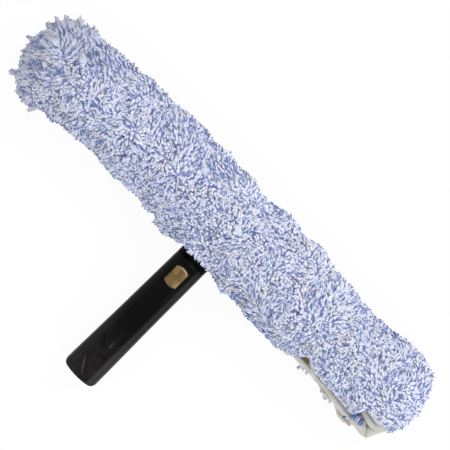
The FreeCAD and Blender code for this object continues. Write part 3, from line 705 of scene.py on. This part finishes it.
def trimmed(points, rng):
    """Holds the strands off the floor, the collar and the slit's canvas."""
    x, y, z = laid_over_collar(points).T
    ragged = edge_allowance + np.maximum(z, 0) * math.tan(tilt) + rng.uniform(-1.2, 0.9, len(points)) * mm
    near_collar = np.abs(x) < collar_half_width + collar_margin
    y = np.where(near_collar, np.maximum(y, -collar_pile_edge + ragged), y)
    above = (x > slit_from) & (z > upper_pile_foot) & (y < 0)
    y = np.where(above, np.maximum(y, -np.interp(x, slit_places, pile_edges) + ragged), y)
    below = (x > slit_from) & (x < slit_to) & (z <= upper_pile_foot) & (y < 0)
    behind_canvas = np.interp(x, slit_places, canvas_edges) - lower_pile_inset
    y = np.where(below, np.maximum(y, -behind_canvas + ragged), y)
    floor = (floor_height - bar_centre.z - y * math.sin(tilt)) / math.cos(tilt)
    return np.stack([x, y, np.maximum(z, floor + white_pile.radius + floor_gap)], axis=-1)


def model_strand(name, sides, heights, widths):
    """One closed strand, one unit long, upright on the origin, with a ring of this width at each height."""
    start_primitive()
    bpy.ops.mesh.primitive_circle_add(vertices=sides, radius=widths[0], fill_type="NGON")
    piece = named(bpy.context.object, name)
    bpy.ops.object.mode_set(mode="EDIT")
    for i in range(1, len(heights)):
        step, grow = heights[i] - heights[i - 1], widths[i] / widths[i - 1]
        bpy.ops.mesh.extrude_region_move(TRANSFORM_OT_translate={"value": (0, 0, step)})
        bpy.ops.transform.resize(value=(grow, grow, 1))
    bpy.ops.mesh.select_all(action="SELECT")
    bpy.ops.mesh.normals_make_consistent(inside=False)
    bpy.ops.object.mode_set(mode="OBJECT")
    return piece


def strand_map(mesh):
    """Each corner's place on a strand's own map: round it, and along it."""
    places = []
    for face in mesh.polygons:
        middle = math.atan2(face.center.y, face.center.x)
        is_end = abs(face.normal.z) > 0.9
        for corner in face.vertices:
            spot = mesh.vertices[corner].co
            turn = math.atan2(spot.y, spot.x)
            turn += math.tau * round((middle - turn) / math.tau)
            places.append((turn / math.tau % 1.0 if is_end else turn / math.tau, spot.z))
    places = np.array(places)
    return (places - places.min(axis=0)) / np.maximum(np.ptp(places, axis=0), 1e-9)


def strand_points(pattern, roots, rises, tips, widths, rng, wave):
    """Places of all strands' vertices, along curved lines that are crimped by this wave."""
    share = pattern[:, 2][None, :, None]
    ends = [places[:, None, :] for places in (roots, rises, tips)]
    centre = (1 - share) ** 2 * ends[0] + 2 * share * (1 - share) * ends[1] + share ** 2 * ends[2]
    course = unit(2 * (1 - share) * (ends[1] - ends[0]) + 2 * share * (ends[2] - ends[1]))
    side = unit(rng.normal(0, 1, roots.shape))[:, None, :]
    first = unit(np.cross(course, side))
    second = np.cross(course, first)
    beat = rng.uniform(0, math.tau, len(roots))[:, None, None]
    pace = rng.uniform(5.0, 9.0, len(roots))[:, None, None]
    crimp = np.sin(beat + pace * share) * first + np.cos(beat * 1.7 + pace * share) * second
    centre = centre + wave * share * crimp
    return centre + widths[:, None, None] * (pattern[None, :, 0:1] * first + pattern[None, :, 1:2] * second)


def sow(name, kind, roots, rises, tips, widths, rng, wave):
    """Copies one kind's strand along many curved lines, into one piece of pile."""
    strand = kind.strand.data
    pattern = np.array([vertex.co for vertex in strand.vertices])
    points = strand_points(pattern, roots, rises, tips, widths, rng, wave)
    count, size = len(roots), len(pattern)
    shifts = np.arange(count)[:, None]
    corners = np.array([corner for face in strand.polygons for corner in face.vertices])
    corners = corners[None, :] + shifts * size
    sides = np.array([len(face.vertices) for face in strand.polygons])
    starts = np.concatenate([[0], np.cumsum(sides)[:-1]])[None, :] + shifts * sides.sum()

    mesh = bpy.data.meshes.new(name)
    mesh.vertices.add(count * size)
    mesh.vertices.foreach_set("co", points.astype(np.float32).ravel())
    mesh.loops.add(corners.size)
    mesh.loops.foreach_set("vertex_index", corners.astype(np.int32).ravel())
    mesh.polygons.add(starts.size)
    mesh.polygons.foreach_set("loop_start", starts.astype(np.int32).ravel())
    mesh.polygons.foreach_set("use_smooth", np.ones(starts.size, bool))

    own = np.repeat(rng.random(count), size).astype(np.float32)
    mesh.attributes.new("strand_tone", "FLOAT", "POINT").data.foreach_set("value", own)
    along = np.tile(pattern[:, 2], count).astype(np.float32)
    mesh.attributes.new("strand_along", "FLOAT", "POINT").data.foreach_set("value", along)

    # Each strand has its own square of the map, with a margin round it
    squares = math.ceil(math.sqrt(count))
    spots = np.stack([np.arange(count) % squares, np.arange(count) // squares], axis=-1)[:, None, :]
    layout = (spots + 0.08 + 0.84 * strand_map(strand)[None, :, :]) / squares
    mesh.uv_layers.new(name="OFBake").data.foreach_set("uv", layout.astype(np.float32).ravel())
    mesh.update(calc_edges=True)
    piece = bpy.data.objects.new(name, mesh)
    bpy.context.collection.objects.link(piece)
    outfit(seat_on_bar(piece), kind.look, "t_bar", "pile", "sleeve_pile")


def pile(kind):
    """All strands of one kind, in so many lengths of the sleeve."""
    rng = np.random.default_rng(kind.seed)
    lengths, turns = sown_places(kind.pitch, rng)
    points = roll_point(lengths, turns)
    keep = clear_of_openings(points)
    lengths, turns, points = lengths[keep], turns[keep], points[keep]
    normals = roll_normal(lengths, turns)
    shag = shaggy(points)[:, None]
    lumps = sum(swirl(points, size, pattern)[:, 0:1] * height for size, height, pattern in pile_lumps)
    size, height, pattern = shaggy_lumps
    lumps += swirl(points, size, pattern)[:, 0:1] * shag * height

    roots = trimmed(points - normals * root_depth, rng)
    lean = comb(points, normals, rng, kind.stray) * kind.flatness * (1 + shaggy_lean * shag)
    drop = (lean ** 2).sum(axis=1)[:, None] / (2 * root_depth) * bend_share * (1 - shaggy_stand * shag)
    ragged = rng.uniform(-0.4, 0.4, (len(points), 1)) * mm * (1 + shaggy_ragged * shag)
    reach = kind.lift + ragged + lumps
    tips = gather(points + lean, normals, rng, *kind.pull) + normals * (reach - drop)
    tips = trimmed(tips, rng)
    rises = trimmed(roots + normals * root_depth * kind.rise + lean * 0.15, rng)
    widths = kind.radius * rng.uniform(thinnest_share, thickest_share, len(points))

    splits = np.quantile(points[:, 0], np.linspace(0, 1, kind.parts + 1))
    for i in range(kind.parts):
        last = i == kind.parts - 1
        part = (points[:, 0] >= splits[i]) & ((points[:, 0] < splits[i + 1]) | last)
        sow(f"{kind.colour}_pile_{i + 1}", kind, roots[part], rises[part], tips[part], widths[part], rng,
            kind.wave)


def fringe_on_collar():
    """The row of strands that hangs over the edge of the collar's opening."""
    rng = np.random.default_rng(47)
    root_edge, root_height = 24 * mm, 12.5 * mm
    arch = np.array([0, -2 * mm, 3.4 * mm])
    for kind, count, thickness in ((white_pile, 34, 0.8), (blue_pile, 22, 1.0)):
        place = np.linspace(-collar_half_width, collar_half_width, count) + rng.uniform(-0.4, 0.4, count) * mm
        reach = -collar_pile_edge + rng.uniform(-0.4, 2.2, count) * mm
        height = collar_top + rng.uniform(0.0, 1.6, count) * mm
        root_reach = -root_edge + rng.uniform(-1, 1, count) * mm
        roots = np.stack([place, root_reach, np.full(count, root_height)], axis=-1)
        tips = np.stack([place + rng.uniform(-3.2, 2.4, count) * mm, reach, height], axis=-1)
        rises = (roots + tips) / 2 + arch
        widths = np.full(count, kind.radius * thickness)
        sow(f"collar_fringe_{kind.colour}", kind, roots, rises, tips, widths, rng, 0.25 * mm)


def loose_tufts(name, tufts, thickness, seed):
    """Tufts that stand apart from the rest of the pile: between the canvas edges and at the closed end."""
    rng = np.random.default_rng(seed)
    arch = np.array([0, 0, 1.2 * mm])
    starts, ends, spreads, white_counts, blue_counts = zip(*tufts)
    for kind, counts, share in ((white_pile, white_counts, thickness), (blue_pile, blue_counts, 1.3)):
        roots = np.repeat(np.array(starts) * mm, counts, axis=0)
        tips = np.repeat(np.array(ends) * mm, counts, axis=0)
        spread = np.repeat(np.array(spreads) * mm, counts)[:, None]
        roots += rng.uniform(-0.5, 0.5, roots.shape) * spread
        tips += rng.uniform(-1, 1, tips.shape) * spread
        rises = (roots + tips) / 2 + arch
        widths = np.full(len(roots), kind.radius * share)
        sow(f"{name}_{kind.colour}", kind, roots, rises, tips, widths, rng, 0.3 * mm)


def hold_back(felt):
    """Keeps the felt behind the edge of the pile at the slit and at the collar."""
    for vertex in felt.data.vertices:
        place, across, height = vertex.co
        if across < 0 and ground_slit_from < place < slit_to:
            inset = ground_inset if height > ground_low else ground_low_inset
            vertex.co.y = max(across, inset - np.interp(place, slit_places, pile_edges))
        elif across < 0 and abs(place) < collar_half_width + ground_collar_margin:
            vertex.co.y = max(across, -ground_collar_edge)


def pile_ground(finish):
    """The closed felt body between the roots, drawn out ring by ring along the roll."""
    end_margin = 6 * mm
    stations = np.linspace(end_margin, profile_lengths[-1] - end_margin, 64)
    start_primitive()
    bpy.ops.mesh.primitive_circle_add(vertices=56, radius=1.0, fill_type="NGON", rotation=(0, math.pi / 2, 0))
    piece = named(bpy.context.object, "pile_ground")
    bpy.ops.object.transform_apply(location=False, rotation=True, scale=True)
    far, top, near = (roll_point(stations, np.full(len(stations), turn), ground_depth)
                      for turn in (0, math.pi / 2, math.pi))
    centres = (far + near) / 2
    halves = np.stack([(far - near)[:, 1] / 2, top[:, 2]], axis=-1)
    bpy.ops.object.mode_set(mode="EDIT")
    bpy.ops.transform.resize(value=(1, halves[0, 0], halves[0, 1]), center_override=(0, 0, 0))
    bpy.ops.transform.translate(value=tuple(centres[0]))
    for i in range(1, len(stations)):
        step = tuple(centres[i] - centres[i - 1])
        bpy.ops.mesh.extrude_region_move(TRANSFORM_OT_translate={"value": step})
        grow = halves[i] / halves[i - 1]
        bpy.ops.transform.resize(value=(1, grow[0], grow[1]), center_override=tuple(centres[i]))
    bpy.ops.mesh.select_all(action="SELECT")
    bpy.ops.mesh.normals_make_consistent(inside=False)
    bpy.ops.transform.vertex_random(offset=0.5 * mm, normal=1.0, seed=4)
    bpy.ops.object.mode_set(mode="OBJECT")
    hold_back(piece)
    bpy.ops.object.shade_smooth()
    outfit(seat_on_bar(piece), finish, "t_bar", "pile", "sleeve_pile")


# Canvas at the slit

def shaped_sheet(name, columns, rows, rule, thickness):
    """A flat sheet, moved into shape by a rule on its shares along and across, with a wall and soft edges.
    The rule also says how much painted shade lies at each place."""
    start_primitive()
    bpy.ops.mesh.primitive_grid_add(x_subdivisions=columns, y_subdivisions=rows, size=1,
                                    location=(0.5, 0.5, 0))
    piece = named(bpy.context.object, name)
    bpy.ops.object.transform_apply(location=True)
    painted_shade_share = piece.data.attributes.new("painted_crease_shade", "FLOAT", "POINT")
    for vertex in piece.data.vertices:
        vertex.co, painted_shade_share.data[vertex.index].value = rule(vertex.co.x, vertex.co.y)
    apply_modifier(piece, "SOLIDIFY", thickness=thickness, offset=0.0)
    apply_modifier(piece, "BEVEL", width=thickness * 0.3, segments=2, limit_method="ANGLE")
    bpy.ops.object.shade_smooth_by_angle(angle=math.radians(50))
    return piece


band_line, slit_line = np.array(band_edges).T, np.array(slit_edges).T
flap_line, strip_line = np.array(flap_edges).T, np.array(strip_middle).T


def swell(distance, half, power=2):
    """A smooth rise of height 1, about this wide to each side, and flatter on top at a higher power."""
    return math.exp(-(abs(distance) / half) ** power)


def front_hem_rule(along, across):
    """The upper hem, from deep under the pile to its rolled band, waving up and down."""
    place = front_hem_from + front_hem_run * along
    edge = np.interp(place, *band_line)
    reach = hem_root + (edge - hem_root) * across
    inward = edge - reach
    wave = 0.8 * math.sin(along * 11.0) + 0.4 * math.sin(along * 23.0 + 1.0)
    groove = swell(inward - stitch_inset, stitch_half)
    band = band_rise * swell(inward - band_inset, band_half) - stitch_depth * groove
    gape = swell(place - gape_place, gape_half, 4) / (1 + math.exp(5.0 * (gape_inset - inward)))
    height = 2.4 - 1.6 * across ** 2 + wave * across + band - gape_depth * gape
    # The second value is painted shade in the gape under the pile and along the stitched groove
    return Vector((place, -reach, height)) * mm, min(1.0, 1.2 * gape + 0.45 * groove)


def rear_hem_rule(along, across):
    """The lower hem, which sags out past the upper one towards the slit's end."""
    place = rear_hem_from + rear_hem_run * along
    edge = np.interp(place, slit_line[0], slit_line[2])
    reach = hem_root + (edge - hem_root) * across
    inward = edge - reach
    sag = 1.3 * math.sin(along * 9.0 + 2.0) * across
    pucker = 0.5 * math.sin(along * 46.0) * across ** 3
    height = -3.8 + sag + pucker + roll_rise * swell(inward - roll_inset, roll_half)
    # The second value is painted shade along the seam
    return Vector((place, -reach, height)) * mm, 0.25 * swell(inward - seam_inset, seam_half)


def fold_rule(along, across):
    """The corner folded over at the slit's end: a rolled strip, then a flap with a crease down to its tip."""
    place = fold_from + fold_run * along
    edge = np.interp(place, *flap_line)
    reach = fold_root + (edge - fold_root) * across
    crease_place = crease_from + crease_slope * (reach - crease_reach)
    crease = swell(place - crease_place, crease_half) * min(1.0, max(0.0, (reach - 27.0) / 1.5))
    beside_tip = 1 / (1 + math.exp((place - strip_end) / strip_fade))
    from_strip = reach - np.interp(place, *strip_line)
    strip = strip_rise * swell(from_strip, strip_half, 4) * beside_tip
    gap = swell(abs(from_strip) - gap_inset, gap_half) * beside_tip
    notch = swell(place - notch_place, notch_half_length) * swell(reach - notch_reach, notch_half_width)
    height = 8.6 - 7.6 * across ** 1.4 + strip - gap_depth * gap - crease_depth * crease - notch_depth * notch
    # The second value is painted shade in the gaps beside the strip, in the crease and in the notch
    return Vector((place, -reach, height)) * mm, min(1.0, 0.6 * gap + 0.6 * crease + notch)


def canvas_pieces(cloth, tape):
    """The two hems, the folded corner, the closing tapes and the bound edge at the collar."""
    front = seat_on_bar(shaped_sheet("front_hem_canvas", 120, 36, front_hem_rule, 1.3 * mm))
    outfit(front, cloth, "t_bar", "canvas", "front_hem")
    rear = seat_on_bar(shaped_sheet("rear_hem_canvas", 70, 16, rear_hem_rule, 1.3 * mm))
    outfit(rear, cloth, "t_bar", "canvas", "rear_hem")
    fold = seat_on_bar(shaped_sheet("folded_corner_canvas", 64, 72, fold_rule, 1.4 * mm))
    outfit(fold, cloth, "t_bar", "canvas", "corner_fold")
    for node in ("hook_tape", "loop_tape"):
        outfit(merged_copy(node, f"{node}_strip"), tape, "t_bar", "tape", node)
    outfit(merged_copy("neck_binding", "neck_binding_canvas", math.radians(60)), cloth, "t_bar", "canvas",
           "neck_binding")


# Rigid pieces

def rigid_pieces():
    """Smooth copies of the moulded and turned pieces, and drawn metal for the rest."""
    steel = drawn_metal("spring_rolled_steel", tone(120, 122, 126), tone(168, 170, 174), (1, 0.05, 1), 0.3)
    alloy = drawn_metal("bar_drawn_aluminium", tone(176, 178, 182), tone(206, 208, 212), (0.04, 1, 1), 0.34)
    rivet = drawn_metal("rivet_bright_aluminium", tone(186, 188, 192), tone(214, 216, 220), (1, 1, 1), 0.26)
    caps = cap_plastic()
    for node, name, finish, body, slot in (
            ("handle_shell", "handle_body", handle_plastic(), "handle", "handle_plastic"),
            ("release_button", "brass_button", button_brass(), "button", "button_brass"),
            ("t_hub", "hub_and_collar", hub_plastic(), "t_bar", "hub_plastic"),
            ("bar_tube", "slotted_bar", alloy, "t_bar", "bar_aluminium"),
            ("hub_rivets", "bar_rivets", rivet, "t_bar", "rivet_aluminium"),
            ("end_cap_left", "bar_cap_left", caps, "t_bar", "cap_plastic"),
            ("end_cap_right", "bar_cap_right", caps, "t_bar", "cap_plastic")):
        outfit(merged_copy(node, name), finish, body, slot, node)
    frame["nodes"]["latch_spring"].data.materials[0] = steel
    frame["nodes"]["sleeve_backing"].data.materials[0] = canvas("backing_canvas")


# Studio

def white_ground():
    """Pale floor that keeps the object's shadow and is white to the camera and in reflections."""
    paper_grey, glow_share = 0.85, 0.94
    material = bpy.data.materials.new("studio_floor_white")
    material.use_nodes = True
    material.node_tree.nodes.clear()
    add, join = material.node_tree.nodes.new, material.node_tree.links.new
    output = add("ShaderNodeOutputMaterial")
    paper = add("ShaderNodeBsdfDiffuse")
    paper.inputs["Color"].default_value = (paper_grey, paper_grey, paper_grey, 1)
    shine = add("ShaderNodeEmission")
    shine.inputs["Strength"].default_value = 1.0
    path = add("ShaderNodeLightPath")
    seen = path.outputs["Is Camera Ray"]
    for ray in ("Is Glossy Ray", "Is Transmission Ray"):
        either = add("ShaderNodeMath")
        either.operation = "MAXIMUM"
        join(seen, either.inputs[0])
        join(path.outputs[ray], either.inputs[1])
        seen = either.outputs[0]
    share = add("ShaderNodeMath")
    share.operation = "MULTIPLY"
    share.inputs[1].default_value = glow_share
    join(seen, share.inputs[0])
    mixed = add("ShaderNodeMixShader")
    join(share.outputs[0], mixed.inputs[0])
    join(paper.outputs[0], mixed.inputs[1])
    join(shine.outputs[0], mixed.inputs[2])
    join(mixed.outputs[0], output.inputs["Surface"])
    return material


def lay_floor():
    start_primitive()
    bpy.ops.mesh.primitive_plane_add(size=30, location=(0, 0, floor_height))
    floor = named(bpy.context.object, "studio_floor")
    bpy.ops.object.transform_apply(location=True)
    floor.data.materials.append(white_ground())


def hang_lamp(name, place, size, power, aim):
    """A square soft lamp at a place, turned to its aim."""
    data = bpy.data.lights.new(name, "AREA")
    data.size = size
    data.energy = power
    lamp = bpy.data.objects.new(name, data)
    bpy.context.collection.objects.link(lamp)
    lamp.location = place
    lamp.rotation_euler = (Vector(aim) - Vector(place)).to_track_quat("-Z", "Y").to_euler()


def light_studio():
    """Plain soft light: an even pale room, a strong lamp from the far side and two weaker ones."""
    room_strength = 0.78
    lamps = (("far_lamp", (0.5, 1.3, 1.3), 1.0, 15), ("near_lamp", (-0.6, -0.9, 1.4), 1.2, 5),
             ("shoulder_lamp", (1.5, -0.2, 0.95), 0.5, 6))
    world = bpy.data.worlds.new("studio_room")
    bpy.context.scene.world = world
    world.use_nodes = True
    world.node_tree.nodes["Background"].inputs["Color"].default_value = (1, 1, 1, 1)
    world.node_tree.nodes["Background"].inputs["Strength"].default_value = room_strength
    for name, place, size, power in lamps:
        hang_lamp(name, place, size, power, aim=tuple(bar_centre))


def set_camera():
    """A long lens straight above the bar, as the photograph was taken."""
    data = bpy.data.cameras.new("camera")
    data.sensor_width = 36
    data.lens = data.sensor_width * camera_distance / frame_width
    data.clip_end = 50
    camera = bpy.data.objects.new("camera", data)
    bpy.context.collection.objects.link(camera)
    right = Vector((math.cos(camera_turn), math.sin(camera_turn), 0))
    up = Vector((-math.sin(camera_turn), math.cos(camera_turn), 0))
    centre = Vector(bar_centre) + right * camera_offset[0] + up * camera_offset[1]
    camera.location = centre + Vector((0, 0, camera_distance))
    camera.rotation_euler = (0, 0, camera_turn)
    bpy.context.scene.camera = camera


set_camera()
rigid_pieces()
white_pile.strand = model_strand("white_strand", sides=4, heights=(0.0, 0.4, 0.75, 1.0),
                                 widths=(0.8, 1.0, 1.0, 0.55))
blue_pile.strand = model_strand("blue_strand", sides=3, heights=(0.0, 0.35, 0.6, 0.8, 1.0),
                                widths=(0.9, 1.0, 1.0, 1.0, 0.7))
white_pile.look = strand_finish("pile_white_yarn", root=tone(209, 215, 238), dull=tone(209, 215, 237),
                                bright=tone(223, 228, 247), warm=tone(220, 220, 231))
blue_pile.look = strand_finish("pile_blue_yarn", root=tone(108, 124, 184), dull=tone(84, 104, 177),
                               bright=tone(126, 148, 207), warm=tone(102, 115, 170))
pile(white_pile)
pile(blue_pile)
fringe_on_collar()
loose_tufts("slit_tufts", slit_tufts, thickness=0.55, seed=31)
loose_tufts("end_locks", end_locks, thickness=0.9, seed=37)
bpy.data.objects.remove(white_pile.strand)
bpy.data.objects.remove(blue_pile.strand)
pile_ground(ground_finish())
canvas_pieces(canvas(), closing_tape())
lay_floor()
light_studio()
bpy.context.scene.view_settings.view_transform = "Standard"
